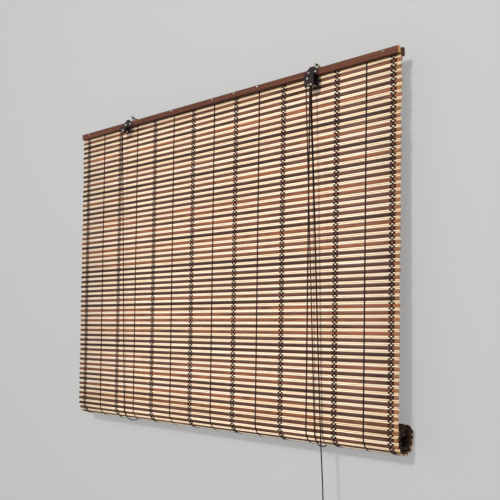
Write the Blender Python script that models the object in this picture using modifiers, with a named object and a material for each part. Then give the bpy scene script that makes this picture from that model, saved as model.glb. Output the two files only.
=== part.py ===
"""Roll-up window blind of flat slats and round reeds woven together with dark yarn.

It hangs on two wall hooks, partly lowered. The lower end is rolled up behind the hanging fabric,
and two lift cords cradle the roll. A pulley and a cord lock on the head battens guide them.
Frame: +X to the right, +Z up, the wall is the plane y = 0 and the room is at -Y. Metres.
"""

import math

import bmesh
import bpy
from mathutils import Matrix, Vector

# Gap between solids that touch or that are cut for one another.
GAP = 0.0003

# Overall sizes.
WIDTH = 0.900
HANG = 0.6863  # from the battens' top edge down to the roll's axis
LEAN = 0.020  # how much further from the wall the fabric is at the roll than at the battens

# Fabric: one flat slat and two round reeds in each repeat.
SLAT_W = 0.0059
SLAT_T = 0.0016
REED_D = 0.0027
STICK_GAP = 0.00033
REPEAT = SLAT_W + 2 * REED_D + 3 * STICK_GAP
YARN_W = 0.0034
YARN_T = 0.0009
YARN_PITCH = 0.0039  # between the three yarns of a band
LINE_W = 0.0022  # a single line of two twisted yarns
BANDS = 8
FIRST_BAND_INSET = 0.0184  # from the fabric's left end to its first band
LAST_BAND_INSET = 0.0149  # from the fabric's right end to its last band
LAST_BAND_SHORTER = 0.0082  # how much less than the others the last space between bands is
FABRIC_HALF = REED_D / 2 + GAP + YARN_T

# Roll.
ROLL_R = 0.031
ROLL_TURNS = 2.75
ROLL_LAYER = 0.0042
ROLL_LAYER_GAP = 0.0008
WALL_GAP = 0.003
BOTTOM_BATTEN = (0.009, 0.005)  # depth and height of its section
BOTTOM_BATTEN_INSET = 0.004

# Head battens.
BATTEN_TOP = -0.0115
BATTEN_H = 0.0125
FRONT_BATTEN_T = 0.007
BACK_BATTEN_T = 0.006
BACK_BATTEN_DROP = 0.0025
BACK_BATTEN_OVERHANG = 0.0015
CLAMP_GAP = 0.0006
BATTEN_BEVEL = 0.0008

# Cords.
CORD_D = 0.0018
TASSEL_TOP = -0.870
PULL_DRIFT = 0.0185  # how far the pull cords have swung to the right at the roll
PULL_FORWARD = 0.0033  # how far in front of the lock they hang, clear of the rising roll
LIFT_SKEW = 0.0130  # how far to the right of its sheave the right lift cord cradles the roll

# Hangers, pulley and cord lock.
HANGER_INSET = 0.182
EYE_R = 0.0040
EYE_WIRE = 0.0018
HOOK_WIRE = 0.0028
HOOK_RISE = 0.0055
HOOK_REACH = 0.004
HOOK_THREAD = 0.018
FLANGE_D = 0.014
FLANGE_T = 0.0015
PLATE_T = 0.0012
SHEAVE_DROP = 0.0235  # from the battens' top edge to the sheaves' axis
SHEAVE_PITCH_R = 0.0055
SHEAVE_FLANGE_R = 0.0066
SHEAVE_W = 0.0029
AXLE_D = 0.0028
RIVET_D = 0.0045
RIVET_T = 0.0009
BRACKET_W = 0.027
BRACKET_TIP_W = 0.009
LOCK_SHIFT = 0.0022  # from the hanger's middle to the lock's sheaves
LOCK_LEFT = 0.0075  # from the sheaves' axis to the housing's left edge
LOCK_RIGHT = 0.0135  # and to its right edge
LOCK_SLANT = 0.0030  # how much lower its right corners are
BRIDGE_RISE = 0.0015
TAB_RISE = 0.0045  # how far the plates' tabs stand above the battens
TAB_W = 0.007
LOCK_MOUTH = 0.0155  # from the sheaves' axis to the lock's lower edge
ROLLER_D = 0.005
ROLLER_DROP = 0.0122  # from the sheaves' axis
ROLLER_STUB_D = 0.002
ROLLER_TRAVEL = 0.0035
ROLLER_DIRECTION = Vector((-0.9, 0.0, 0.436)).normalized()
ANVIL_D = 0.003
SCREW_HEAD_D = 0.0046
SCREW_HEAD_T = 0.0011
SCREW_D = 0.0022
SCREW_LENGTH = 0.006
SCREW_SPREAD = 0.008
NAIL_HEAD_D = 0.0030
NAIL_HEAD_T = 0.0006
NAIL_D = 0.0012
NAIL_DROP = 0.0032
NAIL_LENGTH = 0.0155
STAPLE_WIRE = 0.0012
STAPLE_HALF = 0.003
STAPLE_DEPTH = 0.0035
STAPLE_DROP = 0.0065
KNOT_D = 0.005
TASSEL_D = 0.015
TASSEL_L = 0.034

# Places worked out from the sizes.
ROLL_Y = -(WALL_GAP + ROLL_R)
ROLL_Z = BATTEN_TOP - HANG
ROLL_MID_R = ROLL_R - FABRIC_HALF
ROLL_PITCH = ROLL_LAYER + ROLL_LAYER_GAP
FABRIC_Y = ROLL_Y - ROLL_MID_R + LEAN
FABRIC_TOP = BATTEN_TOP - 0.0065
BATTEN_FACE = FABRIC_HALF + CLAMP_GAP
FRONT_FACE_Y = FABRIC_Y - BATTEN_FACE - FRONT_BATTEN_T
BACK_FACE_Y = FABRIC_Y + BATTEN_FACE + BACK_BATTEN_T
LEFT_X = -WIDTH / 2 + HANGER_INSET
RIGHT_X = WIDTH / 2 - HANGER_INSET
LOCK_X = RIGHT_X + LOCK_SHIFT
SHEAVE_Z = BATTEN_TOP - SHEAVE_DROP
CRADLE_R = ROLL_R + GAP + CORD_D / 2
REAR_GROOVE_Y = ROLL_Y - CRADLE_R
FRONT_GROOVE_Y = REAR_GROOVE_Y - SHEAVE_W - GAP
PLATE_BACK_Y = FRONT_FACE_Y - GAP
LOCK_FRONT_Y = FRONT_GROOVE_Y - SHEAVE_W / 2 - GAP
BRACKET_FRONT_Y = REAR_GROOVE_Y - SHEAVE_W / 2 - GAP
BRIDGE_Z = SHEAVE_Z + SHEAVE_FLANGE_R + GAP + BRIDGE_RISE
ROLLER_Z = SHEAVE_Z - ROLLER_DROP
PULL_X = LOCK_X + SHEAVE_PITCH_R
LIFT_RIGHT_X = LOCK_X - SHEAVE_PITCH_R
LIFT_LEFT_X = LEFT_X - SHEAVE_PITCH_R
CRADLE_RIGHT_X = LIFT_RIGHT_X + LIFT_SKEW
TASSEL_Y = FRONT_GROOVE_Y - PULL_FORWARD
EYE_Y = BACK_FACE_Y - BACK_BATTEN_T / 2
EYE_Z = -(EYE_R - EYE_WIRE / 2 - HOOK_WIRE / 2 - GAP)
BAND_PITCH = (WIDTH - FIRST_BAND_INSET - LAST_BAND_INSET + LAST_BAND_SHORTER) / (BANDS - 1)
BAND_X = [-WIDTH / 2 + FIRST_BAND_INSET + i * BAND_PITCH for i in range(BANDS - 1)]
BAND_X.append(WIDTH / 2 - LAST_BAND_INSET)
SINGLE_X = [x + BAND_PITCH / 2 for x in BAND_X[:-1]]
NAIL_X = [BAND_X[0] + 0.009, *SINGLE_X[2:4], BAND_X[4], SINGLE_X[4], BAND_X[-1] - 0.017]
STAPLE_Z = BATTEN_TOP - STAPLE_DROP
STAPLE_Y = BACK_FACE_Y + 2 * GAP + CORD_D + STAPLE_WIRE / 2
REAR_CORD_Y = BACK_FACE_Y + GAP + CORD_D / 2


def tangent_angle(start_y, start_z, radius, side):
    """The lean of a line from a point to the roll's circle, on its front (-1) or rear (+1) side."""
    dy, dz = start_y - ROLL_Y, start_z - ROLL_Z
    return math.asin(radius / math.hypot(dy, dz)) - side * math.atan2(dy, dz)


def contact(start_y, start_z, radius, side):
    """Where that line touches the circle, as (y, z)."""
    lean = tangent_angle(start_y, start_z, radius, side)
    return ROLL_Y + side * radius * math.cos(lean), ROLL_Z + radius * math.sin(lean)


FABRIC_LEAN = tangent_angle(FABRIC_Y, FABRIC_TOP, ROLL_MID_R, -1)
FABRIC_RUN = math.sqrt(
    (FABRIC_Y - ROLL_Y) ** 2 + (FABRIC_TOP - ROLL_Z) ** 2 - ROLL_MID_R**2
)
REPEATS = int((FABRIC_RUN - YARN_T - 3 * GAP) / REPEAT)

# ---- scene, collections and materials ----

for old in list(bpy.data.objects):
    bpy.data.objects.remove(old, do_unlink=True)

PARTS = bpy.data.collections.new("roll_up_blind")
CUTTERS = bpy.data.collections.new("cutters")
for group in (PARTS, CUTTERS):
    bpy.context.scene.collection.children.link(group)


def material(name, colour, roughness, metallic=0.0):
    made = bpy.data.materials.new(name)
    made.use_nodes = True
    shader = made.node_tree.nodes["Principled BSDF"]
    shader.inputs["Base Color"].default_value = (*colour, 1.0)
    shader.inputs["Roughness"].default_value = roughness
    shader.inputs["Metallic"].default_value = metallic
    return made


MAHOGANY = material("mahogany_batten", (0.19, 0.07, 0.035), 0.45)
BROWN_SLAT = material("brown_slat", (0.17, 0.075, 0.05), 0.5)
CREAM_REED = material("cream_reed", (0.78, 0.62, 0.40), 0.5)
YARN = material("dark_yarn", (0.045, 0.022, 0.016), 0.9)
ROLLED = material("rolled_fabric", (0.36, 0.22, 0.13), 0.6)
BRONZE = material("dark_bronze", (0.05, 0.04, 0.035), 0.4, 1.0)
STEEL = material("bright_steel", (0.72, 0.70, 0.66), 0.25, 1.0)
CORD = material("brown_cord", (0.07, 0.035, 0.022), 0.85)
DARK_PLASTIC = material("dark_plastic", (0.03, 0.025, 0.022), 0.4)


def finish(obj, mat, collection=PARTS):
    """Puts an object in its collection with its material."""
    for used in list(obj.users_collection):
        used.objects.unlink(obj)
    collection.objects.link(obj)
    obj.data.materials.clear()
    obj.data.materials.append(mat)
    if collection is CUTTERS:
        obj.hide_render = True
        obj.display_type = "WIRE"
    return obj


def from_bmesh(name, made, mat, collection=PARTS):
    mesh = bpy.data.meshes.new(name)
    bmesh.ops.recalc_face_normals(made, faces=made.faces)
    made.to_mesh(mesh)
    made.free()
    return finish(bpy.data.objects.new(name, mesh), mat, collection)


def add_box(made, size, centre, turn=None):
    place = Matrix.Translation(centre) @ (turn or Matrix.Identity(4))
    bmesh.ops.create_cube(made, size=1.0, matrix=place @ Matrix.Diagonal((*size, 1.0)))


def add_rod(made, radius, start, end, sides=12, end_radius=None):
    start, end = Vector(start), Vector(end)
    along = end - start
    place = Matrix.Translation((start + end) / 2) @ along.to_track_quat("Z", "Y").to_matrix().to_4x4()
    bmesh.ops.create_cone(
        made,
        cap_ends=True,
        segments=sides,
        radius1=radius,
        radius2=radius if end_radius is None else end_radius,
        depth=along.length,
        matrix=place,
    )


def cut(obj, cutter, operation="DIFFERENCE"):
    made = obj.modifiers.new(operation.lower(), "BOOLEAN")
    made.operation = operation
    made.object = cutter
    return obj


def turned(name, profile, mat, place, steps=32):
    """A turned piece: the profile is (radius, height) points, down the outer side, turned about Z."""
    mesh = bpy.data.meshes.new(name)
    closed = len(profile)
    edges = [(i, (i + 1) % closed) for i in range(closed)]
    if profile[0][0] == 0.0 and profile[-1][0] == 0.0:
        edges.pop()
    mesh.from_pydata([(r, 0.0, z) for r, z in profile], edges, [])
    obj = finish(bpy.data.objects.new(name, mesh), mat)
    screw = obj.modifiers.new("turn", "SCREW")
    screw.steps = steps
    screw.render_steps = steps
    screw.use_merge_vertices = True
    screw.merge_threshold = 0.00005
    obj.matrix_world = place
    return obj


def tube(name, points, diameter, mat, closed=False):
    """A wire or cord: a poly curve with filled caps."""
    curve = bpy.data.curves.new(name, "CURVE")
    curve.dimensions = "3D"
    curve.bevel_depth = diameter / 2
    curve.bevel_resolution = 2
    curve.use_fill_caps = True
    spline = curve.splines.new("POLY")
    spline.use_cyclic_u = closed
    spline.points.add(len(points) - 1)
    for spot, point in zip(spline.points, points, strict=True):
        spot.co = (*point, 1.0)
    return finish(bpy.data.objects.new(name, curve), mat)


def meshed(obj):
    """The same object as a closed mesh, for a Boolean."""
    graph = bpy.context.evaluated_depsgraph_get()
    mesh = bpy.data.meshes.new_from_object(obj.evaluated_get(graph))
    work = bmesh.new()
    work.from_mesh(mesh)
    bmesh.ops.remove_doubles(work, verts=work.verts, dist=0.00002)
    bmesh.ops.recalc_face_normals(work, faces=work.faces)
    work.to_mesh(mesh)
    work.free()
    name, mat, place = obj.name, obj.data.materials[0], obj.matrix_world.copy()
    bpy.data.objects.remove(obj, do_unlink=True)
    made = finish(bpy.data.objects.new(name, mesh), mat)
    made.name = name
    made.matrix_world = place
    return made


def outline(name, points, thickness, mat, place, collection=PARTS, hole=None):
    """A flat outline, with or without a hole, filled and extruded half its thickness each way."""
    curve = bpy.data.curves.new(name, "CURVE")
    curve.dimensions = "2D"
    curve.fill_mode = "BOTH"
    curve.extrude = thickness / 2
    for loop in (points, hole) if hole else (points,):
        spline = curve.splines.new("POLY")
        spline.use_cyclic_u = True
        spline.points.add(len(loop) - 1)
        for spot, (u, v) in zip(spline.points, loop, strict=True):
            spot.co = (u, v, 0.0, 1.0)
    obj = finish(bpy.data.objects.new(name, curve), mat, collection)
    obj.matrix_world = place
    return obj


def side_section(x):
    """Places a drawing with its first axis along Y and its second along Z, extruded along X."""
    return Matrix.Translation((x, 0.0, 0.0)) @ Matrix(
        ((0, 0, 1, 0), (1, 0, 0, 0), (0, 1, 0, 0), (0, 0, 0, 1))
    )


def about_y(x, y, z):
    """Places a turned piece with its axis along Y, its top towards the room."""
    return Matrix.Translation((x, y, z)) @ Matrix.Rotation(math.radians(90), 4, "X")


def fastener(name, x, face_y, z, diameter, length, head_diameter, head_thickness):
    """A nail or screw driven in along +Y, the underside of its domed head at face_y."""
    profile = [
        (0.0, length + head_thickness),
        (head_diameter * 0.25, length + head_thickness),
        (head_diameter / 2, length + head_thickness * 0.35),
        (head_diameter / 2, length),
        (diameter / 2, length),
        (diameter / 2, diameter),
        (0.0, 0.0),
    ]
    return turned(name, profile, STEEL, about_y(x, face_y + length, z), 12)


# ---- head battens and what fastens them ----


def batten(name, width, y_centre, thickness, top, height):
    made = bmesh.new()
    add_box(made, (width, thickness, height), (0.0, y_centre, top - height / 2))
    obj = from_bmesh(name, made, MAHOGANY)
    edge = obj.modifiers.new("rounded_edges", "BEVEL")
    edge.width = BATTEN_BEVEL
    edge.segments = 1
    return obj


front_batten = batten(
    "front_batten", WIDTH, FRONT_FACE_Y + FRONT_BATTEN_T / 2, FRONT_BATTEN_T, BATTEN_TOP, BATTEN_H
)
back_batten = batten(
    "back_batten",
    WIDTH + 2 * BACK_BATTEN_OVERHANG,
    BACK_FACE_Y - BACK_BATTEN_T / 2,
    BACK_BATTEN_T,
    BATTEN_TOP,
    BATTEN_H + BACK_BATTEN_DROP,
)

NAIL_Z = BATTEN_TOP - NAIL_DROP
holes = bmesh.new()
for i, x in enumerate(NAIL_X):
    fastener(f"batten_nail_{i + 1}", x, FRONT_FACE_Y - GAP, NAIL_Z, NAIL_D, NAIL_LENGTH,
             NAIL_HEAD_D, NAIL_HEAD_T)
    add_rod(holes, NAIL_D / 2 + GAP, (x, FRONT_FACE_Y - 0.002, NAIL_Z),
            (x, FRONT_FACE_Y + NAIL_LENGTH + GAP, NAIL_Z), 8)

SCREW_Z = BATTEN_TOP - BATTEN_H / 2
for centre in (LEFT_X, RIGHT_X):
    for side in (-1, 1):
        x = centre + side * SCREW_SPREAD
        add_rod(holes, SCREW_D / 2 + GAP, (x, PLATE_BACK_Y - 0.002, SCREW_Z),
                (x, PLATE_BACK_Y + SCREW_LENGTH + 2 * GAP, SCREW_Z), 10)
    add_rod(holes, EYE_WIRE / 2 + GAP, (centre, EYE_Y, 0.0), (centre, EYE_Y, BATTEN_TOP - 0.0095), 10)
for centre in (LIFT_LEFT_X, CRADLE_RIGHT_X):
    for side in (-1, 1):
        x = centre + side * STAPLE_HALF
        add_rod(holes, STAPLE_WIRE / 2 + GAP, (x, STAPLE_Y, STAPLE_Z),
                (x, BACK_FACE_Y - STAPLE_DEPTH - GAP, STAPLE_Z), 8)
hole_cutter = from_bmesh("fastener_holes", holes, STEEL, CUTTERS)
cut(front_batten, hole_cutter)
cut(back_batten, hole_cutter)

# ---- hanging fabric ----

SLAT_EDGE = 0.0004
WEB = 0.0005  # half the thickness that joins neighbouring sticks, where the yarns bind them


def fabric_section():
    """The side section of the hanging fabric: (depth, height) points, slats and reeds in turn."""
    side = []
    for i in range(REPEATS):
        top = -i * REPEAT
        side += [(SLAT_T / 2, top - 0.00005), (SLAT_T / 2, top - SLAT_W), (WEB, top - SLAT_W - 0.0001)]
        for j in range(2):
            middle = top - SLAT_W - (j + 1) * STICK_GAP - (j + 0.5) * REED_D
            side += [
                (WEB, middle + REED_D / 2),
                (REED_D / 2, middle + REED_D / 4),
                (REED_D / 2, middle - REED_D / 4),
                (WEB, middle - REED_D / 2),
            ]
    return side + [(-depth, height) for depth, height in reversed(side)]


FABRIC_LENGTH = REPEATS * REPEAT
fabric_place = (
    Matrix.Translation((0.0, FABRIC_Y, FABRIC_TOP))
    @ Matrix.Rotation(-FABRIC_LEAN, 4, "X")
    @ side_section(0.0)
)
outline("hanging_fabric", fabric_section(), WIDTH, CREAM_REED, fabric_place)


def warp(name, x, width):
    """A run of yarn down the front of the fabric and up its back, closed around both ends."""
    inner_depth = REED_D / 2 + GAP
    outer_depth = inner_depth + YARN_T
    loops = []
    for depth, past in ((outer_depth, GAP + YARN_T), (inner_depth, GAP)):
        top, bottom = past, -FABRIC_LENGTH - past
        loops.append([(-depth, top), (depth, top), (depth, bottom), (-depth, bottom)])
    place = (
        Matrix.Translation((x, FABRIC_Y, FABRIC_TOP))
        @ Matrix.Rotation(-FABRIC_LEAN, 4, "X")
        @ side_section(0.0)
    )
    outline(name, loops[0], width, YARN, place, hole=loops[1])


for i, x in enumerate(BAND_X):
    warp(f"warp_band_{i + 1}", x, 2 * YARN_PITCH + YARN_W)
for i, x in enumerate(SINGLE_X):
    warp(f"warp_line_{i + 1}", x, LINE_W)

# ---- roll ----


def roll_point(turn, offset):
    """A point on the rolled fabric: turn in radians from where it leaves the hanging part."""
    radius = ROLL_MID_R - ROLL_PITCH * turn / (2 * math.pi) + offset
    angle = FABRIC_LEAN - turn
    return ROLL_Y - radius * math.cos(angle), ROLL_Z + radius * math.sin(angle)


ROLL_STEPS = 56
ROLL_START = GAP * 3 / ROLL_MID_R
turns = [
    ROLL_START + (ROLL_TURNS * 2 * math.pi - ROLL_START) * i / ROLL_STEPS
    for i in range(ROLL_STEPS + 1)
]
section = [roll_point(t, ROLL_LAYER / 2) for t in turns]
section += [roll_point(t, -ROLL_LAYER / 2) for t in reversed(turns)]
meshed(outline("rolled_fabric", section, WIDTH, ROLLED, side_section(0.0)))

inner = ROLL_MID_R - ROLL_TURNS * ROLL_PITCH - ROLL_LAYER / 2
half_depth, batten_height = BOTTOM_BATTEN[0] / 2, BOTTOM_BATTEN[1]
bottom_top = math.sqrt((inner - 2 * GAP) ** 2 - half_depth**2)
made = bmesh.new()
add_box(
    made,
    (WIDTH - 2 * BOTTOM_BATTEN_INSET, BOTTOM_BATTEN[0], batten_height),
    (0.0, ROLL_Y, ROLL_Z + bottom_top - batten_height / 2),
)
from_bmesh("bottom_batten", made, MAHOGANY)

# ---- wall hooks and hanger eyes ----


def arc(centre, radius, first, last, steps, plane):
    """Points on an arc, in degrees. plane gives the two axes that the angle turns between."""
    points = []
    for i in range(steps + 1):
        angle = math.radians(first + (last - first) * i / steps)
        point = Vector(centre)
        point[plane[0]] += radius * math.cos(angle)
        point[plane[1]] += radius * math.sin(angle)
        points.append(tuple(point))
    return points


for side, x in (("left", LEFT_X), ("right", RIGHT_X)):
    bend = 0.003
    tip_y = EYE_Y - EYE_WIRE / 2 - HOOK_REACH
    route = [(x, HOOK_THREAD, 0.0), (x, tip_y + bend, 0.0)]
    route += arc((x, tip_y + bend, bend), bend, 270, 180, 4, (1, 2))[1:]
    route.append((x, tip_y, HOOK_RISE))
    hook = meshed(tube(f"wall_hook_{side}", route, HOOK_WIRE, BRONZE))
    flange = bmesh.new()
    add_rod(flange, FLANGE_D / 2, (x, 0.0, 0.0), (x, -FLANGE_T, 0.0), 20)
    cut(hook, from_bmesh(f"hook_flange_{side}", flange, BRONZE, CUTTERS), "UNION")

    ring = arc((x, EYE_Y, EYE_Z), EYE_R, 0, 345, 23, (0, 2))
    eye = meshed(tube(f"hanger_eye_{side}", ring, EYE_WIRE, STEEL, closed=True))
    stem = bmesh.new()
    add_rod(stem, EYE_WIRE * 0.45, (x, EYE_Y, EYE_Z - EYE_R), (x, EYE_Y, BATTEN_TOP - 0.009), 10)
    cut(eye, from_bmesh(f"eye_stem_{side}", stem, STEEL, CUTTERS), "UNION")

# ---- left pulley bracket ----


def channel(name, x, width, depth_points, shape, mat):
    """A folded strap: its side section, extruded along X, kept only inside a front outline."""
    strap = meshed(outline(name, depth_points, width, mat, side_section(x)))
    reach = PLATE_BACK_Y - LOCK_FRONT_Y + 0.02
    front_view = Matrix.Translation((x, (PLATE_BACK_Y + LOCK_FRONT_Y) / 2, 0.0)) @ Matrix.Rotation(
        math.radians(90), 4, "X"
    )
    keep = meshed(outline(f"{name}_outline", shape, reach, mat, front_view))
    finish(keep, mat, CUTTERS)
    return cut(strap, keep, "INTERSECT")


def strap_section(front_inner_y, top, bottom):
    """A flat plate on the batten, a bridge above the sheaves and a front cheek, as (y, z) points."""
    back, inner = PLATE_BACK_Y, PLATE_BACK_Y - PLATE_T
    return [
        (back, top),
        (back, bottom),
        (inner, bottom),
        (inner, BRIDGE_Z),
        (front_inner_y, BRIDGE_Z),
        (front_inner_y, bottom),
        (front_inner_y - PLATE_T, bottom),
        (front_inner_y - PLATE_T, BRIDGE_Z + PLATE_T),
        (inner, BRIDGE_Z + PLATE_T),
        (inner, top),
    ]


PLATE_TOP = BATTEN_TOP + TAB_RISE
TIP_Z = SHEAVE_Z - 0.005
EAR = 0.0035  # how far the plates reach above and below their screws
bracket_shape = [
    (-TAB_W / 2, PLATE_TOP + 0.001),
    (-BRACKET_W / 2, SCREW_Z + EAR),
    (-BRACKET_W / 2, SCREW_Z - EAR),
    (-BRACKET_TIP_W / 2, TIP_Z - 0.001),
    (BRACKET_TIP_W / 2, TIP_Z - 0.001),
    (BRACKET_W / 2, SCREW_Z - EAR),
    (BRACKET_W / 2, SCREW_Z + EAR),
    (TAB_W / 2, PLATE_TOP + 0.001),
]
bracket = channel(
    "pulley_bracket",
    LEFT_X,
    BRACKET_W + 0.004,
    strap_section(BRACKET_FRONT_Y, PLATE_TOP, TIP_Z),
    bracket_shape,
    BRONZE,
)

# ---- cord lock ----

LOCK_BOTTOM = SHEAVE_Z - LOCK_MOUTH
EAR_BOTTOM = SCREW_Z - EAR
NECK_Z = BATTEN_TOP - BATTEN_H - 0.001
lock_left = LOCK_SHIFT - LOCK_LEFT
lock_right = LOCK_SHIFT + LOCK_RIGHT
lock_shape = [
    (-TAB_W / 2, PLATE_TOP + 0.001),
    (-BRACKET_W / 2, SCREW_Z + EAR),
    (-BRACKET_W / 2, EAR_BOTTOM),
    (lock_left, NECK_Z),
    (lock_left, LOCK_BOTTOM + LOCK_SLANT),
    (lock_left + 0.002, LOCK_BOTTOM - 0.001),
    (lock_right - 0.002, LOCK_BOTTOM - 0.001),
    (lock_right, LOCK_BOTTOM + 0.001),
    (lock_right, NECK_Z - LOCK_SLANT),
    (BRACKET_W / 2, EAR_BOTTOM),
    (BRACKET_W / 2, SCREW_Z + EAR),
    (TAB_W / 2, PLATE_TOP + 0.001),
]
lock = channel(
    "cord_lock_housing",
    RIGHT_X,
    BRACKET_W + 0.012,
    strap_section(LOCK_FRONT_Y, PLATE_TOP, LOCK_BOTTOM),
    lock_shape,
    BRONZE,
)

ROLLER_X = PULL_X - CORD_D / 2 - GAP - ROLLER_D / 2
ANVIL_X = PULL_X + CORD_D / 2 + GAP + ANVIL_D / 2


def rivet(name, x, z, diameter, front_y, mat):
    """A pin through both cheeks, with a head on each."""
    far = front_y - PLATE_T - GAP
    near = PLATE_BACK_Y + RIVET_T
    profile = [
        (0.0, near - far + RIVET_T),
        (RIVET_D / 2 * 0.7, near - far + RIVET_T),
        (RIVET_D / 2, near - far + RIVET_T * 0.3),
        (RIVET_D / 2, near - far),
        (diameter / 2, near - far),
        (diameter / 2, 0.0),
        (RIVET_D / 2 * 0.8, 0.0),
        (RIVET_D / 2 * 0.8, -RIVET_T * 0.6),
        (0.0, -RIVET_T * 0.6),
    ]
    return turned(name, profile, mat, about_y(x, near, z), 16)


def plate_holes(name, target, front_y, rounds, slot=None):
    """Cuts round holes, and a slot, through both cheeks."""
    made = bmesh.new()
    for x, z, diameter in rounds:
        add_rod(made, diameter / 2 + GAP, (x, PLATE_BACK_Y + 0.002, z), (x, front_y - 0.004, z), 16)
    for centre in (target["centre"],):
        for side in (-1, 1):
            x = centre + side * SCREW_SPREAD
            add_rod(made, SCREW_D / 2 + GAP, (x, PLATE_BACK_Y + 0.002, SCREW_Z),
                    (x, PLATE_BACK_Y - PLATE_T - 0.001, SCREW_Z), 10)
    if slot:
        x, z, width = slot
        middle = Vector((x, 0.0, z)) + ROLLER_DIRECTION * ROLLER_TRAVEL / 2
        middle.y = (PLATE_BACK_Y + front_y) / 2
        turn = Matrix.Rotation(math.atan2(-ROLLER_DIRECTION.z, ROLLER_DIRECTION.x), 4, "Y")
        add_box(made, (ROLLER_TRAVEL + width, 0.06, width), middle, turn)
    cutter = from_bmesh(name, made, STEEL, CUTTERS)
    cut(target["obj"], cutter)


plate_holes(
    "bracket_holes",
    {"obj": bracket, "centre": LEFT_X},
    BRACKET_FRONT_Y,
    [(LEFT_X, SHEAVE_Z, AXLE_D)],
)
plate_holes(
    "lock_holes",
    {"obj": lock, "centre": RIGHT_X},
    LOCK_FRONT_Y,
    [(LOCK_X, SHEAVE_Z, AXLE_D), (ANVIL_X, ROLLER_Z, ANVIL_D)],
    (ROLLER_X, ROLLER_Z, ROLLER_STUB_D + 2 * GAP),
)
rivet("pulley_axle", LEFT_X, SHEAVE_Z, AXLE_D, BRACKET_FRONT_Y, STEEL)
rivet("lock_sheave_axle", LOCK_X, SHEAVE_Z, AXLE_D, LOCK_FRONT_Y, STEEL)
rivet("lock_anvil_pin", ANVIL_X, ROLLER_Z, ANVIL_D, LOCK_FRONT_Y, STEEL)


def sheave(name, x, groove_y):
    half = SHEAVE_W / 2
    floor = SHEAVE_PITCH_R - CORD_D / 2 - GAP
    lip = 0.00025
    bore = AXLE_D / 2 + GAP
    profile = [
        (bore, half),
        (SHEAVE_FLANGE_R, half),
        (SHEAVE_FLANGE_R, half - lip),
        (floor, half - lip),
        (floor, -half + lip),
        (SHEAVE_FLANGE_R, -half + lip),
        (SHEAVE_FLANGE_R, -half),
        (bore, -half),
    ]
    return turned(name, profile, DARK_PLASTIC, about_y(x, groove_y, SHEAVE_Z), 28)


sheave("left_pulley", LEFT_X, REAR_GROOVE_Y)
sheave("lock_sheave_rear", LOCK_X, REAR_GROOVE_Y)
sheave("lock_sheave_front", LOCK_X, FRONT_GROOVE_Y)


def spacer(name, x):
    near = PLATE_BACK_Y - PLATE_T - GAP
    far = REAR_GROOVE_Y + SHEAVE_W / 2 + GAP
    bore, outer = AXLE_D / 2 + GAP, AXLE_D / 2 + 0.0014
    profile = [(bore, near - far), (outer, near - far), (outer, 0.0), (bore, 0.0)]
    return turned(name, profile, STEEL, about_y(x, near, SHEAVE_Z), 16)


spacer("pulley_spacer", LEFT_X)
spacer("lock_spacer", LOCK_X)

roller_near = PLATE_BACK_Y - PLATE_T - GAP
roller_far = LOCK_FRONT_Y + GAP
stub = PLATE_T + 0.0007
roller_length = roller_near - roller_far
turned(
    "lock_roller",
    [
        (0.0, roller_length + stub),
        (ROLLER_STUB_D / 2, roller_length + stub),
        (ROLLER_STUB_D / 2, roller_length),
        (ROLLER_D / 2, roller_length),
        (ROLLER_D / 2, 0.0),
        (ROLLER_STUB_D / 2, 0.0),
        (ROLLER_STUB_D / 2, -stub),
        (0.0, -stub),
    ],
    STEEL,
    about_y(ROLLER_X, roller_near, ROLLER_Z),
    16,
)

for name, centre in (("bracket_screw", LEFT_X), ("lock_screw", RIGHT_X)):
    for label, side in (("left", -1), ("right", 1)):
        fastener(f"{name}_{label}", centre + side * SCREW_SPREAD, PLATE_BACK_Y - PLATE_T - GAP,
                 SCREW_Z, SCREW_D, SCREW_LENGTH + PLATE_T, SCREW_HEAD_D, SCREW_HEAD_T)

# ---- lift cords ----


def line(start, end, count):
    start, end = Vector(start), Vector(end)
    return [tuple(start.lerp(end, i / (count - 1))) for i in range(count)]


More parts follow.
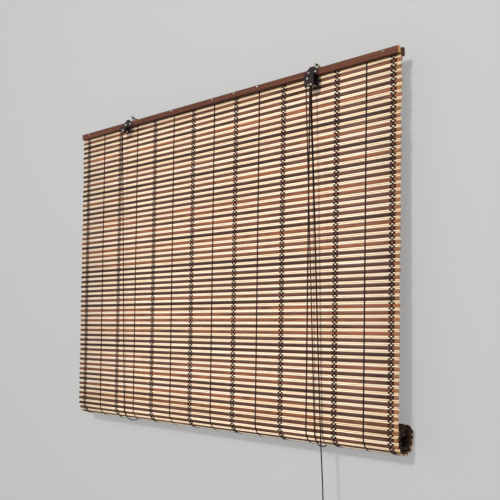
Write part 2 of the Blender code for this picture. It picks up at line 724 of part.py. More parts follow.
def lift_cord(side, top_x, roll_x, groove_y, anchor_x):
    """The front and rear runs of a lift cord and the stretch that cradles the roll."""
    front_top = SHEAVE_Z - GAP
    front_y, front_z = contact(groove_y, front_top, CRADLE_R, -1)
    tube(
        f"lift_cord_{side}_front",
        line((top_x, groove_y, front_top), (roll_x, front_y, front_z + GAP), 6),
        CORD_D,
        CORD,
    )
    rear_top = STAPLE_Z + 0.0011
    rear_y, rear_z = contact(REAR_CORD_Y, rear_top, CRADLE_R, 1)
    tube(
        f"lift_cord_{side}_rear",
        line((anchor_x, REAR_CORD_Y, rear_top), (roll_x, rear_y, rear_z + GAP), 6),
        CORD_D,
        CORD,
    )
    first = 180 - math.degrees(tangent_angle(groove_y, front_top, CRADLE_R, -1))
    last = 360 + math.degrees(tangent_angle(REAR_CORD_Y, rear_top, CRADLE_R, 1))
    tube(
        f"lift_cord_{side}_cradle",
        arc((roll_x, ROLL_Y, ROLL_Z), CRADLE_R, first, last, 24, (1, 2)),
        CORD_D,
        CORD,
    )

    staple = [
        (anchor_x - STAPLE_HALF, BACK_FACE_Y - STAPLE_DEPTH, STAPLE_Z),
        (anchor_x - STAPLE_HALF, STAPLE_Y - 0.0006, STAPLE_Z),
        (anchor_x - STAPLE_HALF + 0.0006, STAPLE_Y, STAPLE_Z),
        (anchor_x + STAPLE_HALF - 0.0006, STAPLE_Y, STAPLE_Z),
        (anchor_x + STAPLE_HALF, STAPLE_Y - 0.0006, STAPLE_Z),
        (anchor_x + STAPLE_HALF, BACK_FACE_Y - STAPLE_DEPTH, STAPLE_Z),
    ]
    tube(f"cord_staple_{side}", staple, STAPLE_WIRE, STEEL)
    knot = bmesh.new()
    centre = (anchor_x, BACK_FACE_Y + GAP + KNOT_D / 2, STAPLE_Z + STAPLE_WIRE / 2 + GAP + KNOT_D / 2)
    bmesh.ops.create_uvsphere(
        knot, u_segments=12, v_segments=8, radius=KNOT_D / 2, matrix=Matrix.Translation(centre)
    )
    from_bmesh(f"cord_knot_{side}", knot, CORD)


lift_cord("left", LIFT_LEFT_X, LIFT_LEFT_X, REAR_GROOVE_Y, LIFT_LEFT_X)
lift_cord("right", LIFT_RIGHT_X, CRADLE_RIGHT_X, FRONT_GROOVE_Y, CRADLE_RIGHT_X)

MOUTH_Z = LOCK_BOTTOM
over = arc((LOCK_X, FRONT_GROOVE_Y, SHEAVE_Z), SHEAVE_PITCH_R, 180, 0, 12, (0, 2))
tube("lift_cord_right_over_sheave", [*over, (PULL_X, FRONT_GROOVE_Y, MOUTH_Z)], CORD_D, CORD)
header = arc((LEFT_X, REAR_GROOVE_Y, SHEAVE_Z), SHEAVE_PITCH_R, 180, 90, 6, (0, 2))
header += arc((LOCK_X, REAR_GROOVE_Y, SHEAVE_Z), SHEAVE_PITCH_R, 90, 0, 6, (0, 2))
tube("lift_cord_left_header", [*header, (PULL_X, REAR_GROOVE_Y, MOUTH_Z)], CORD_D, CORD)

# ---- pull cords and tassel ----

PULL_SPREAD = CORD_D + GAP
TASSEL_DRIFT = 1.36


def pull_route(groove_y, side):
    """The free cord, from the lock's mouth to the tassel, read from a smooth curve."""
    apart = side * PULL_SPREAD / 2
    hang_y = groove_y - PULL_FORWARD
    knots = [
        Vector((PULL_X, groove_y, MOUTH_Z - GAP)),
        Vector((PULL_X + 0.12 * PULL_DRIFT, hang_y, -0.095)),
        Vector((PULL_X + 0.40 * PULL_DRIFT + apart * 0.4, hang_y, -0.262)),
        Vector((PULL_X + 0.68 * PULL_DRIFT + apart * 0.8, hang_y, -0.470)),
        Vector((PULL_X + PULL_DRIFT + apart, hang_y, -0.690)),
        Vector((PULL_X + 1.25 * PULL_DRIFT + apart, hang_y, -0.800)),
        Vector((PULL_X + TASSEL_DRIFT * PULL_DRIFT + apart, TASSEL_Y, TASSEL_TOP + GAP)),
    ]
    points = []
    for i in range(len(knots) - 1):
        before = knots[max(i - 1, 0)]
        after = knots[min(i + 2, len(knots) - 1)]
        a, b = knots[i], knots[i + 1]
        for j in range(6):
            t = j / 6
            points.append(
                tuple(
                    0.5
                    * (
                        2 * a
                        + (b - before) * t
                        + (2 * before - 5 * a + 4 * b - after) * t * t
                        + (3 * a - before - 3 * b + after) * t**3
                    )
                )
            )
    return [*points, tuple(knots[-1])]


tube("pull_cord_front", pull_route(FRONT_GROOVE_Y, 1), CORD_D, CORD)
tube("pull_cord_rear", pull_route(REAR_GROOVE_Y, -1), CORD_D, CORD)

TASSEL_R = TASSEL_D / 2
turned(
    "pull_tassel",
    [
        (0.0, TASSEL_L),
        (TASSEL_R * 0.36, TASSEL_L),
        (TASSEL_R * 0.46, TASSEL_L - 0.001),
        (TASSEL_R * 0.46, TASSEL_L - 0.006),
        (TASSEL_R * 0.70, TASSEL_L - 0.012),
        (TASSEL_R * 0.93, TASSEL_L - 0.020),
        (TASSEL_R, TASSEL_L - 0.028),
        (TASSEL_R * 0.94, 0.002),
        (TASSEL_R * 0.75, 0.0),
        (0.0, 0.0),
    ],
    MAHOGANY,
    Matrix.Translation((PULL_X + TASSEL_DRIFT * PULL_DRIFT, TASSEL_Y, TASSEL_TOP - TASSEL_L)),
    24,
)

for part in PARTS.objects:
    if part.type == "MESH":
        part.data.shade_smooth()
        part.data.set_sharp_from_angle(angle=math.radians(35))
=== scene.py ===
"""A roll-up window blind of flat slats and round reeds woven with dark yarn, partly lowered.

Its lower end is rolled up behind the hanging fabric, two lift cords cradle the roll, and a
pulley and a cord lock on the head battens guide them. Metres, +X right, +Z up, wall at y = 0.
"""

import math
import random

import bmesh
import bpy
from mathutils import Matrix, Vector, noise


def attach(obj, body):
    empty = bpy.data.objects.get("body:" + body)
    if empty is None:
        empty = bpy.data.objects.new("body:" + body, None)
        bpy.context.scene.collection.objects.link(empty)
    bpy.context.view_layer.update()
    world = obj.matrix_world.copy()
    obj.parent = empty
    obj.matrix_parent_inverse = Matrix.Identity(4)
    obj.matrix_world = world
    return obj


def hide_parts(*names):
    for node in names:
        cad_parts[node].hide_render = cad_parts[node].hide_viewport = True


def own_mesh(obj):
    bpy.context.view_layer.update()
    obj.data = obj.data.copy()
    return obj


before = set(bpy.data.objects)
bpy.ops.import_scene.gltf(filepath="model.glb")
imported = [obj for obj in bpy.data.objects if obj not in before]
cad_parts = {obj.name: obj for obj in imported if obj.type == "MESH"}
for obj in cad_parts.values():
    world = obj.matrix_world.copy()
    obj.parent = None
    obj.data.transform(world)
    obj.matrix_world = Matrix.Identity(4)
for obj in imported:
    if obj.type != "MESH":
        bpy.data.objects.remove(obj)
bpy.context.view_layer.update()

# ---- Camera ----
# To the right of the blind and a little below its middle. It looks level towards the left, and
# its lens is shifted up.

SENSOR_MM = 36.0
LENS_MM = 49.46
CAMERA_PLACE = (1.0151, -1.1303, -0.4817)
CAMERA_YAW = math.radians(40.0)
CAMERA_ROLL = math.radians(-0.318)
camera_data = bpy.data.cameras.new("camera")
camera_data.sensor_width = SENSOR_MM
camera_data.lens = LENS_MM
camera_data.shift_x = -0.0007
camera_data.shift_y = 0.1340
camera_data.clip_start = 0.05
camera = bpy.data.objects.new("camera", camera_data)
bpy.context.scene.collection.objects.link(camera)
camera.matrix_world = (
    Matrix.Translation(CAMERA_PLACE)
    @ Matrix.Rotation(CAMERA_YAW, 4, "Z")
    @ Matrix.Rotation(math.radians(90.0), 4, "X")
    @ Matrix.Rotation(CAMERA_ROLL, 4, "Z")
)
bpy.context.scene.camera = camera
bpy.context.scene.view_settings.view_transform = "Standard"

# ---- Pull cords and tassel ----
# Two braided cords, about 2 mm thick, hang free from the cord lock's mouth to a turned wooden
# tassel. Each is about 0.82 m long, twice the fabric already rolled up and a short tail.

CORD_D = 0.0018  # the taut cord that the other parts leave room for
BRAID_D = 0.0022  # the braid as it looks, with its raised strands
CORD_SIDES = 10
TOUCH_GAP = 0.0003  # between parts that touch
HANGER_INSET = 0.182
HALF_WIDTH = 0.450
RIGHT_X = HALF_WIDTH - HANGER_INSET
LEFT_X = -RIGHT_X
LOCK_X = RIGHT_X + 0.0022
SHEAVE_R = 0.0055
SHEAVE_Z = -0.0350
PULL_X = LOCK_X + SHEAVE_R
REAR_GROOVE_Y = -0.0662
FRONT_GROOVE_Y = -0.0694
MOUTH_Z = SHEAVE_Z - 0.0155
PULL_DRIFT = 0.0185  # how far to the right the cords lean by the bottom of the blind
PULL_FORWARD = 0.0033  # they hang in front of their grooves, clear of the rising roll
TASSEL_DRIFT = 1.36  # the lean at the tassel, in parts of PULL_DRIFT
TASSEL_TOP = -0.870


def smooth_route(knots, steps):
    """Points on a smooth curve through the knots."""
    points = []
    for i in range(len(knots) - 1):
        before, after = knots[max(i - 1, 0)], knots[min(i + 2, len(knots) - 1)]
        a, b = knots[i], knots[i + 1]
        for j in range(steps):
            t = j / steps
            points.append(
                0.5
                * (
                    2 * a
                    + (b - before) * t
                    + (2 * before - 5 * a + 4 * b - after) * t * t
                    + (3 * a - before - 3 * b + after) * t**3
                )
            )
    return [*points, knots[-1]]


def pull_route(groove_y, side):
    """One pull cord from the lock's mouth to the tassel. side is 1 or -1, away from its twin."""
    apart = side * (CORD_D + TOUCH_GAP) / 2
    hang_y = groove_y - PULL_FORWARD
    knots = [
        Vector((PULL_X, groove_y, MOUTH_Z - TOUCH_GAP)),
        Vector((PULL_X + 0.12 * PULL_DRIFT, hang_y, -0.095)),
        Vector((PULL_X + 0.40 * PULL_DRIFT + apart * 0.4, hang_y, -0.262)),
        Vector((PULL_X + 0.68 * PULL_DRIFT + apart * 0.8, hang_y, -0.470)),
        Vector((PULL_X + PULL_DRIFT + apart, hang_y, -0.690)),
        Vector((PULL_X + 1.25 * PULL_DRIFT + apart, hang_y, -0.800)),
        Vector((
            PULL_X + TASSEL_DRIFT * PULL_DRIFT + apart,
            FRONT_GROOVE_Y - PULL_FORWARD,
            TASSEL_TOP + TOUCH_GAP,
        )),
    ]
    return smooth_route(knots, 6)


def add_material(name):
    """A new node material, with its shader and its node tree."""
    material = bpy.data.materials.new(name)
    material.use_nodes = True
    tree = material.node_tree
    return material, tree.nodes["Principled BSDF"], tree


def add_node(tree, kind, **values):
    """A node with the given settings; a value that names an input sets that input."""
    node = tree.nodes.new(kind)
    for key, value in values.items():
        if key in node.inputs:
            node.inputs[key].default_value = value
        else:
            setattr(node, key, value)
    return node


def colour_ramp(tree, source, stops):
    """The colour at source, from stops of (place, colour)."""
    node = tree.nodes.new("ShaderNodeValToRGB")
    ramp = node.color_ramp
    while len(ramp.elements) < len(stops):
        ramp.elements.new(0.5)
    for element, (place, colour) in zip(ramp.elements, stops, strict=True):
        element.position = place
        element.color = (*colour, 1.0)
    tree.links.new(source, node.inputs["Fac"])
    return node.outputs["Color"]


def add_bump(tree, shader, height, strength, distance):
    bump = add_node(tree, "ShaderNodeBump", Strength=strength, Distance=distance)
    tree.links.new(height, bump.inputs["Height"])
    tree.links.new(bump.outputs["Normal"], shader.inputs["Normal"])


def braid_material(name, dark, light, pitch):
    """Braided or twisted yarn: fine slanting ribs that follow the cord's own UV map."""
    material, shader, tree = add_material(name)
    uv = add_node(tree, "ShaderNodeUVMap", uv_map="along")
    rib_place = add_node(tree, "ShaderNodeMapping", Scale=(1.0 / pitch, 2.0, 1.0))
    tree.links.new(uv.outputs["UV"], rib_place.inputs["Vector"])
    ribs = add_node(
        tree, "ShaderNodeTexWave", wave_type="BANDS", bands_direction="DIAGONAL", Scale=0.5,
        Distortion=0.6,
    )
    tree.links.new(rib_place.outputs["Vector"], ribs.inputs["Vector"])
    shade = colour_ramp(tree, ribs.outputs["Color"], [(0.15, dark), (0.9, light)])
    tree.links.new(shade, shader.inputs["Base Color"])
    add_bump(tree, shader, ribs.outputs["Fac"], 0.5, 0.0003)
    shader.inputs["Roughness"].default_value = 0.85
    shader.inputs["Specular IOR Level"].default_value = 0.15
    return material


CORD_MATERIAL = braid_material("braided_cord", (0.008, 0.003, 0.002), (0.034, 0.014, 0.009), 0.0022)


def tube_mesh(routes, radius, sides=8, flat=None):
    """Tubes along routes, with 'along' UVs: the distance along in U and round in V.

    flat makes ribbons as wide as the tube along X and flat times as thick.
    """
    form = bmesh.new()
    layer = form.loops.layers.uv.new("along")
    for route in routes:
        rings, along = [], [0.0]
        normal = None
        for i, point in enumerate(route):
            ahead = (route[min(i + 1, len(route) - 1)] - route[max(i - 1, 0)]).normalized()
            if normal is None or flat:
                normal = Vector((1.0, 0.0, 0.0)) if flat else ahead.orthogonal().normalized()
            normal = (normal - ahead * normal.dot(ahead)).normalized()
            across = ahead.cross(normal)
            if i:
                along.append(along[-1] + (point - route[i - 1]).length)
            ring = []
            for k in range(sides):
                angle = 2 * math.pi * k / sides
                offset = normal * math.cos(angle) + across * math.sin(angle) * (flat or 1.0)
                ring.append(form.verts.new(point + offset * radius))
            rings.append(ring)
        for i in range(len(rings) - 1):
            for k in range(sides):
                j = (k + 1) % sides
                face = form.faces.new((rings[i][k], rings[i][j], rings[i + 1][j], rings[i + 1][k]))
                face.smooth = True
                spots = ((i, k), (i, k + 1), (i + 1, k + 1), (i + 1, k))
                for loop, (at, step) in zip(face.loops, spots, strict=True):
                    loop[layer].uv = (along[at], step / sides)
        form.faces.new(list(reversed(rings[0])))
        form.faces.new(rings[-1])
    bmesh.ops.recalc_face_normals(form, faces=form.faces)
    return form


def add_piece(name, form, material, body):
    """Turns a bmesh into a piece that rides on a body."""
    mesh = bpy.data.meshes.new(name)
    form.to_mesh(mesh)
    form.free()
    mesh.materials.append(material)
    piece = bpy.data.objects.new(name, mesh)
    bpy.context.scene.collection.objects.link(piece)
    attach(piece, body)
    return piece


for cord_name, groove_y, side in (
    ("pull_cord_front", FRONT_GROOVE_Y, 1),
    ("pull_cord_rear", REAR_GROOVE_Y, -1),
):
    route = pull_route(groove_y, side)
    braid = tube_mesh([route], BRAID_D / 2, CORD_SIDES)
    piece = add_piece(f"{cord_name}_braid", braid, CORD_MATERIAL, "headrail")
    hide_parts(cord_name)

# ---- Head battens ----
# Two stained hardwood battens clamp the fabric's top edge. Six bright nails go through both. The
# front batten was cut after it was stained, so its ends are raw and golden.

NAILS = 6
RAW_END_DEPTH = 0.0010


def grain_noise(tree, source, fineness, **values):
    """Noise with its own fineness along each axis: grain is coarse along X and fine across it."""
    place = add_node(tree, "ShaderNodeMapping", Scale=fineness)
    tree.links.new(source, place.inputs["Vector"])
    grain = add_node(tree, "ShaderNodeTexNoise", Scale=1.0, **values)
    tree.links.new(place.outputs["Vector"], grain.inputs["Vector"])
    return grain.outputs["Fac"]


def mix_colours(tree, share, first, second):
    """The first colour where share is 0, the second where it is 1. Each is a colour or a socket."""
    mix = add_node(tree, "ShaderNodeMix", data_type="RGBA")
    tree.links.new(share, mix.inputs["Factor"])
    for side, colour in (("A", first), ("B", second)):
        if isinstance(colour, tuple):
            mix.inputs[side].default_value = (*colour, 1.0)
        else:
            tree.links.new(colour, mix.inputs[side])
    return mix.outputs["Result"]


def wood_material(name, dark, mid, light, roughness, raw_end=None):
    """Stained wood with grain along X. raw_end is the colour of the batten's cut ends."""
    material, shader, tree = add_material(name)
    place = add_node(tree, "ShaderNodeTexCoord").outputs["Object"]
    grain = grain_noise(
        tree, place, (6.0, 420.0, 420.0), Detail=6.0, Roughness=0.6, Distortion=0.4
    )
    shade = colour_ramp(tree, grain, [(0.3, dark), (0.5, mid), (0.72, light)])
    if raw_end:
        apart = add_node(tree, "ShaderNodeSeparateXYZ")
        tree.links.new(place, apart.inputs["Vector"])
        outwards = add_node(tree, "ShaderNodeMath", operation="ABSOLUTE")
        tree.links.new(apart.outputs["X"], outwards.inputs[0])
        past = add_node(tree, "ShaderNodeMath", operation="GREATER_THAN")
        past.inputs[1].default_value = HALF_WIDTH - RAW_END_DEPTH
        tree.links.new(outwards.outputs[0], past.inputs[0])
        shade = mix_colours(tree, past.outputs[0], shade, raw_end)
    tree.links.new(shade, shader.inputs["Base Color"])
    pores = grain_noise(tree, place, (60.0, 1500.0, 1500.0), Detail=3.0)
    add_bump(tree, shader, pores, 0.25, 0.0004)
    shader.inputs["Roughness"].default_value = roughness
    shader.inputs["Specular IOR Level"].default_value = 0.2
    return material


MAHOGANY = wood_material(
    "mahogany_stain", (0.045, 0.012, 0.006), (0.085, 0.026, 0.011), (0.14, 0.047, 0.019), 0.55,
    raw_end=(0.62, 0.33, 0.12),
)
DARK_MAHOGANY = wood_material(
    "dark_mahogany_stain", (0.028, 0.010, 0.008), (0.055, 0.020, 0.014), (0.10, 0.038, 0.022), 0.5
)


def finish_node(name, material):
    """Gives a CAD part its finish."""
    part = bpy.data.objects[name]
    part.data.materials.clear()
    part.data.materials.append(material)
    return part


def map_range(tree, source, low, high, least, most):
    """Turns source between low and high into a value between least and most."""
    node = add_node(tree, "ShaderNodeMapRange")
    names = ("From Min", "From Max", "To Min", "To Max")
    for name, value in zip(names, (low, high, least, most), strict=True):
        node.inputs[name].default_value = value
    tree.links.new(source, node.inputs["Value"])
    return node.outputs["Result"]


def hardware_material(name, colour, worn, roughness, metallic=1.0):
    """Metal or hard plastic: small worn patches of a second colour, and a varied gloss."""
    material, shader, tree = add_material(name)
    place = add_node(tree, "ShaderNodeTexCoord")
    mottle = add_node(tree, "ShaderNodeTexNoise", Scale=420.0, Detail=5.0, Roughness=0.65)
    tree.links.new(place.outputs["Object"], mottle.inputs["Vector"])
    spots = mottle.outputs["Fac"]
    shade = colour_ramp(tree, spots, [(0.35, colour), (0.62, colour), (0.78, worn)])
    tree.links.new(shade, shader.inputs["Base Color"])
    gloss = map_range(tree, spots, 0.0, 1.0, roughness - 0.08, roughness + 0.12)
    tree.links.new(gloss, shader.inputs["Roughness"])
    add_bump(tree, shader, spots, 0.15, 0.0002)
    shader.inputs["Metallic"].default_value = metallic
    shader.inputs["Specular IOR Level"].default_value = 0.2 + 0.3 * metallic
    return material


BRIGHT_STEEL = hardware_material("bright_steel", (0.46, 0.44, 0.41), (0.28, 0.26, 0.24), 0.32)
DARK_BRONZE = hardware_material("dark_bronze", (0.012, 0.006, 0.005), (0.05, 0.03, 0.02), 0.48, 0.0)
finish_node("front_batten", MAHOGANY)
finish_node("back_batten", DARK_MAHOGANY)
for i in range(NAILS):
    finish_node(f"batten_nail_{i + 1}", BRIGHT_STEEL)

# ---- Woven fabric ----
# Flat slats stained brown and pairs of pale round reeds lie across the blind, and dark yarn
# weaves over and under each stick. The same run of fabric hangs down in front and then winds
# inwards into the roll.

SLAT_W = 0.0062
SLAT_T = 0.0016
SLAT_EDGE = 0.00045
REED_D = 0.00255
STICK_GAP = 0.00033
REPEAT = SLAT_W + 2 * REED_D + 3 * STICK_GAP  # one slat and two reeds
ROLL_R = 0.031
ROLL_Y = -0.034
ROLL_Z = -0.6978
FABRIC_HALF = 0.00255  # half the thickness of the sticks and yarns together
ROLL_MID_R = ROLL_R - FABRIC_HALF
ROLL_PITCH = 0.0050
ROLL_TURNS = 2.75
HEAD_SETBACK = 0.020  # how far the fabric's top edge is behind the roll's front
FABRIC_Y = ROLL_Y - ROLL_MID_R + HEAD_SETBACK
FABRIC_TOP = -0.0180
away_y, away_z = FABRIC_Y - ROLL_Y, FABRIC_TOP - ROLL_Z
LEAN = math.asin(ROLL_MID_R / math.hypot(away_y, away_z)) + math.atan2(away_y, away_z)
HANG_RUN = math.sqrt(away_y**2 + away_z**2 - ROLL_MID_R**2)
ROLL_RUN = ROLL_TURNS * 2 * math.pi * (ROLL_MID_R - ROLL_PITCH * ROLL_TURNS / 2)


def fabric_place(run):
    """The middle of the fabric at a distance from its top edge: its place, down and front."""
    if run <= HANG_RUN:
        down = Vector((0.0, -math.sin(LEAN), -math.cos(LEAN)))
        front = Vector((0.0, -math.cos(LEAN), math.sin(LEAN)))
        return Vector((0.0, FABRIC_Y, FABRIC_TOP)) + down * run, down, front
    # The spiral's length to an angle is mid * a - pitch * a * a / (4 pi): solve it for a.
    arc = run - HANG_RUN
    shrink = ROLL_PITCH / (4 * math.pi)
    turn = (ROLL_MID_R - math.sqrt(max(ROLL_MID_R**2 - 4 * shrink * arc, 0.0))) / (2 * shrink)
    radius = ROLL_MID_R - ROLL_PITCH * turn / (2 * math.pi)
    angle = LEAN - turn
    front = Vector((0.0, -math.cos(angle), math.sin(angle)))
    down = Vector((0.0, -math.sin(angle), -math.cos(angle)))
    return Vector((0.0, ROLL_Y, ROLL_Z)) + front * radius, down, front


REPEATS = int((HANG_RUN + ROLL_RUN) / REPEAT)
STEADY_REPEATS = 3  # these never move
TURNING_REPEATS = 5  # the next ones down, also held on the head
HANGING_REPEATS = int(HANG_RUN / REPEAT)


def stick_middles(repeat):
    """How far down the fabric the slat and the two reeds of one repeat are."""
    top = repeat * REPEAT
    first = top + SLAT_W + STICK_GAP + REED_D / 2
    return top + SLAT_W / 2, first, first + REED_D + STICK_GAP


def cut_across(form, length, parts):
    """Cuts a stick across into equal parts, so that it can bend."""
    for cut in range(1, parts):
        bmesh.ops.bisect_plane(
            form,
            geom=[*form.verts, *form.edges, *form.faces],
            plane_co=((cut / parts - 0.5) * length, 0, 0),
            plane_no=(1, 0, 0),
        )


def slat_shape():
    """One slat, from a cube: cut across at five places, with its long edges bevelled."""
    form = bmesh.new()
    bmesh.ops.create_cube(form, size=1.0)
    cut_across(form, 1.0, 6)
    bmesh.ops.scale(form, verts=form.verts, vec=(2 * HALF_WIDTH, SLAT_T, SLAT_W))
    along = [
        e for e in form.edges
        if abs(e.verts[0].co.x - e.verts[1].co.x) > 0.01 and abs(e.verts[0].co.z) > SLAT_W * 0.4
    ]
    bmesh.ops.bevel(
        form, geom=along, offset=SLAT_EDGE, segments=1, profile=0.5, affect="EDGES", material=-1
    )
    for face in form.faces:
        face.smooth = True
    mesh = bpy.data.meshes.new("slat_shape")
    form.to_mesh(mesh)
    form.free()
    return mesh


def reed_shape():
    """One round reed, from a cylinder laid along X and cut across at four places."""
    form = bmesh.new()
    bmesh.ops.create_cone(
        form, cap_ends=True, segments=8, radius1=REED_D / 2, radius2=REED_D / 2,
        depth=2 * HALF_WIDTH, matrix=Matrix.Rotation(math.radians(90), 4, "Y"),
    )
    cut_across(form, 2 * HALF_WIDTH, 5)
    for face in form.faces:
        face.smooth = len(face.verts) == 4
    mesh = bpy.data.meshes.new("reed_shape")
    form.to_mesh(mesh)
    form.free()
    return mesh


SLAT_SHAPE, REED_SHAPE = slat_shape(), reed_shape()
dice = random.Random(41)
END_WANDER = 0.0007  # how uneven the sticks' ends are
END_MOST = 0.002
LEFT_EXTRA = 0.005  # the sticks reach further on the left
BEND = 0.00022
BOW = 0.00018
OPEN_RUN = 0.07  # the first stretch of the roll that daylight reaches
SHADE_RUN = 0.03  # and the stretch over which it fades


def stick_end():
    return max(-END_MOST, min(END_MOST, dice.gauss(0, END_WANDER)))


def lay_stick(form, shape, run, slimmer):
    """Lays one stick in the fabric, a little bent, with ends that aren't quite level.

    Sticks inside the roll are marked for painted shade; their cut ends take end grain with painted
    shade.
    """
    layer = form.verts.layers.float_color.get("stick") or form.verts.layers.float_color.new("stick")
    known = len(form.verts)
    known_faces = len(form.faces)
    form.from_mesh(shape)
    form.verts.ensure_lookup_table()
    form.faces.ensure_lookup_table()
    for face in form.faces[known_faces:]:
        if abs(face.calc_center_median().x) > HALF_WIDTH - 0.0001 and run > HANG_RUN:
            face.material_index = 1
    middle, down, front = fabric_place(run)
    open_share = max(0.0, min(1.0, 1.0 - (run - HANG_RUN - OPEN_RUN) / SHADE_RUN))
    tone = (dice.random(), dice.random(), dice.random(), open_share)
    seed = dice.uniform(-50, 50)
    left, right = stick_end() - LEFT_EXTRA, stick_end()
    width = 1 - slimmer * dice.random()
    for vertex in form.verts[known:]:
        x, out, low = vertex.co
        share = x / (2 * HALF_WIDTH) + 0.5
        x += left * (1 - share) + right * share
        bend = BEND * noise.noise(Vector((x * 5, seed, 0.0)))
        bow = BOW * noise.noise(Vector((x * 4, seed, 7.0)))
        place = middle + down * (bend - low * width) - front * (out * width + bow)
        vertex.co = Vector((x, place.y, place.z))
        vertex[layer] = tone


ROLL_SHADE = (0.022, 0.009, 0.004)  # of the sticks that no light reaches, inside the roll


def stick_material(name, tones, streak, end_tone, roughness, streak_share):
    """Split wood: a tone for each stick, streaks and fine fibres along it and paler right ends."""
    material, shader, tree = add_material(name)
    place = add_node(tree, "ShaderNodeTexCoord").outputs["Object"]
    own = add_node(tree, "ShaderNodeAttribute", attribute_name="stick")
    apart = add_node(tree, "ShaderNodeSeparateColor")
    tree.links.new(own.outputs["Color"], apart.inputs["Color"])
    drift = grain_noise(tree, place, (3.2, 90.0, 90.0), Detail=2.0)
    total = add_node(tree, "ShaderNodeMath", operation="ADD")
    tree.links.new(apart.outputs["Red"], total.inputs[0])
    tree.links.new(map_range(tree, drift, 0.25, 0.75, -0.35, 0.35), total.inputs[1])
    colour = colour_ramp(tree, total.outputs[0], tones)
    # Each stick has its streaks and fibres from another place, so that no two are alike.
    shift = add_node(tree, "ShaderNodeVectorMath", operation="SCALE")
    tree.links.new(own.outputs["Vector"], shift.inputs[0])
    shift.inputs["Scale"].default_value = 9.0
    moved = add_node(tree, "ShaderNodeVectorMath", operation="ADD")
    tree.links.new(place, moved.inputs[0])
    tree.links.new(shift.outputs["Vector"], moved.inputs[1])
    moved_place = moved.outputs["Vector"]
    for fineness, most, low, high in (
        ((9.0, 520.0, 520.0), streak_share, 0.42, 0.66),
        ((16.0, 30.0, 30.0), streak_share * 0.9, 0.46, 0.70),
    ):
        grain = grain_noise(tree, moved_place, fineness, Detail=4.0, Roughness=0.6)
        share = map_range(tree, grain, low, high, 0.0, most)
        colour = mix_colours(tree, share, colour, streak)
    ends = add_node(tree, "ShaderNodeSeparateXYZ")
    tree.links.new(place, ends.inputs["Vector"])
    past = map_range(tree, ends.outputs["X"], HALF_WIDTH - 0.016, HALF_WIDTH - 0.007, 0.0, 0.6)
    colour = mix_colours(tree, past, colour, end_tone)
    colour = mix_colours(tree, own.outputs["Alpha"], ROLL_SHADE, colour)
    tree.links.new(colour, shader.inputs["Base Color"])
    fibre = grain_noise(tree, moved_place, (40.0, 1800.0, 1800.0), Detail=3.0)
    add_bump(tree, shader, fibre, 0.35, 0.0003)
    shader.inputs["Roughness"].default_value = roughness
    shader.inputs["Specular IOR Level"].default_value = 0.25
    return material


BROWN_SLAT = stick_material(
    "brown_slat",
    [
        (0.0, (0.046, 0.013, 0.005)), (0.3, (0.098, 0.032, 0.017)),
        (0.7, (0.160, 0.059, 0.034)), (1.0, (0.31, 0.098, 0.038)),
    ],
    (0.026, 0.009, 0.005), (0.40, 0.17, 0.075), 0.6, 0.72,
)
CREAM_REED = stick_material(
    "cream_reed",
    [(0.0, (0.90, 0.70, 0.45)), (0.5, (0.95, 0.80, 0.58)), (1.0, (0.96, 0.85, 0.68))],
    (0.70, 0.44, 0.24), (0.84, 0.57, 0.28), 0.5, 0.4,
)

# Cut ends of the rolled sticks: end grain darkened with painted shade, because the roll's end lies
# in shadow.
SHADED_SLAT_END = wood_material(
    "shaded_slat_end", (0.022, 0.008, 0.003), (0.048, 0.018, 0.007), (0.092, 0.036, 0.013), 0.8
)
SHADED_REED_END = wood_material(
    "shaded_reed_end", (0.035, 0.015, 0.005), (0.11, 0.058, 0.016), (0.28, 0.17, 0.055), 0.8
)

# Yarn columns: bands of three plainly woven yarns, and single lines of two twisted ones.
BAND_STEP = 0.12499
BAND_X = [-0.4316 + i * BAND_STEP for i in range(7)] + [0.4351]
LINE_X = [x + BAND_STEP / 2 for x in BAND_X[:-1]]
YARN_W = 0.0042
YARN_T = 0.0009
YARN_STEP = 0.0039
YARN_SIDES = 6
LINE_W = 0.0029
LINE_SWAY = 0.00028  # how far aside each of a line's two yarns sways
YARN = braid_material("dark_yarn", (0.006, 0.0025, 0.003), (0.030, 0.013, 0.014), 0.0014)


def yarn_route(x, phase, sway, first, last):
    """One yarn that goes over and under the sticks of the given repeats in turn.

    It lies flat on most of a slat, on less of a round reed, and crosses the fabric between them.
    """
    points = []
    for repeat in range(first, last):
        for j, middle in enumerate(stick_middles(repeat)):
            wide, thick = (SLAT_W, SLAT_T) if j == 0 else (REED_D, REED_D * 0.86)
            reach = wide / 2 * (0.85 if j == 0 else 0.70)
            side = 1 if (repeat * 3 + j + phase) % 2 == 0 else -1
            for at in (middle - reach, middle + reach):
                spot, _, front = fabric_place(at)
                out = side * (thick / 2 + YARN_T * 0.45)
                points.append(spot + front * out + Vector((x + side * sway, 0.0, 0.0)))
            spot, _, front = fabric_place(middle + wide / 2 + STICK_GAP / 2)
            points.append(spot + Vector((x, 0.0, 0.0)))
    return points


